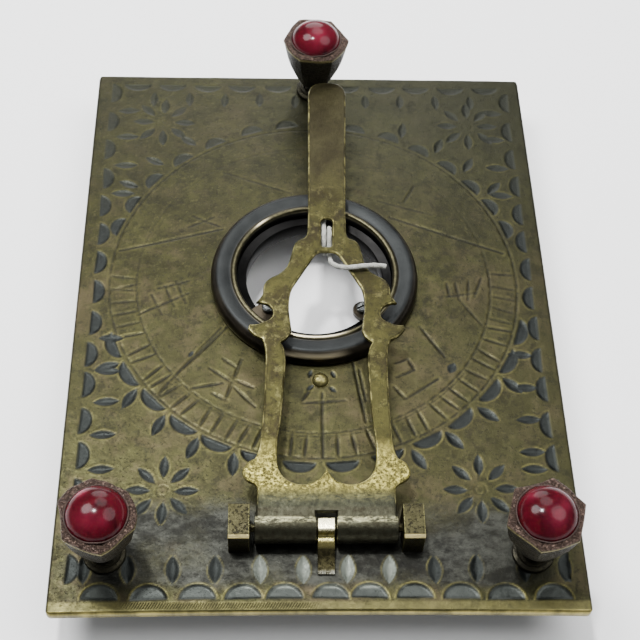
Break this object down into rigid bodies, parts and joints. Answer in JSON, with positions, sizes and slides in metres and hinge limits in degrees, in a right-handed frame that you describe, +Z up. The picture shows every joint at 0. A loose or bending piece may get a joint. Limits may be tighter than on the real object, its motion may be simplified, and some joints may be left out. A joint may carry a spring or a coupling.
{
  "type": "pocket sundial",
  "caption": "Engraved rectangular brass pocket sundial with folding string gnomon, open compass ring and jewelled levelling screw feet.",
  "frame": {"origin": "centre of the bounding box's bottom face, on the surface that the three foot tips stand on", "axes": "+Z up through the plate; +X across the plate's width; +Y along its length, from the hinge (noon) edge to the single back foot"},
  "size_m": [0.075, 0.1038, 0.0234],
  "materials": {
    "plate_brass": "engraved olive-brown brass with dark recesses",
    "gnomon_brass": "pitted yellow brass, worn bright",
    "ring_bronze": "near-black patinated bronze",
    "foot_brass": "dark olive-brown turned and filed brass",
    "ear_screw_steel": "worn slotted steel",
    "ruby_glass": "deep red cabochon glass",
    "setting_cement": "pinkish-brown setting cement",
    "white_cotton": "twisted off-white cotton"
  },
  "bodies": {
    "plate": {"base_plate": "plate_brass", "compass_ring": "ring_bronze", "ring_ear_left": "ring_bronze", "ring_ear_right": "ring_bronze", "ring_ear_screw_left": "ear_screw_steel", "ring_ear_screw_right": "ear_screw_steel", "noon_stud": "gnomon_brass", "hinge_lug_left": "plate_brass", "hinge_lug_right": "plate_brass", "hinge_centre_strap": "gnomon_brass", "hinge_pin": "plate_brass", "left_foot_bush": "foot_brass", "right_foot_bush": "foot_brass", "back_foot_bush": "foot_brass"},
    "gnomon": {"gnomon_frame": "gnomon_brass", "gnomon_string": "white_cotton"},
    "left_setting": {"left_foot_gem": "ruby_glass", "left_foot_cement": "setting_cement"},
    "left_screw": {"left_foot_screw": "foot_brass"},
    "right_setting": {"right_foot_gem": "ruby_glass", "right_foot_cement": "setting_cement"},
    "right_screw": {"right_foot_screw": "foot_brass"},
    "back_setting": {"back_foot_gem": "ruby_glass", "back_foot_cement": "setting_cement"},
    "back_screw": {"back_foot_screw": "foot_brass"}
  },
  "joints": [
    {"name": "gnomon_fold", "type": "hinge", "parent": "plate", "child": "gnomon", "pos_m": [0.0008, -0.04032, 0.0112], "axis": [1, 0, 0], "range_deg": [0, 88]},
    {"name": "left_foot_travel", "type": "slide", "parent": "plate", "child": "left_setting", "axis": [0, 0, 1], "range_m": [-0.0015, 0.0015]},
    {"name": "left_foot_turn", "type": "hinge", "parent": "left_setting", "child": "left_screw", "pos_m": [-0.03, -0.04312, 0.0086], "axis": [0, 0, 1], "range_deg": [-720, 720]},
    {"name": "right_foot_travel", "type": "slide", "parent": "plate", "child": "right_setting", "axis": [0, 0, 1], "range_m": [-0.0015, 0.0015]},
    {"name": "right_foot_turn", "type": "hinge", "parent": "right_setting", "child": "right_screw", "pos_m": [0.03, -0.04312, 0.0086], "axis": [0, 0, 1], "range_deg": [-720, 720]},
    {"name": "back_foot_travel", "type": "slide", "parent": "plate", "child": "back_setting", "axis": [0, 0, 1], "range_m": [-0.0015, 0.0015]},
    {"name": "back_foot_turn", "type": "hinge", "parent": "back_setting", "child": "back_screw", "pos_m": [0.0006, 0.04698, 0.0086], "axis": [0, 0, 1], "range_deg": [-720, 720]}
  ],
  "couplings": [
    {"joint": "left_foot_turn", "follows": "left_foot_travel", "rad_per_m": 8369.2},
    {"joint": "right_foot_turn", "follows": "right_foot_travel", "rad_per_m": 8369.2},
    {"joint": "back_foot_turn", "follows": "back_foot_travel", "rad_per_m": 8369.2}
  ]
}
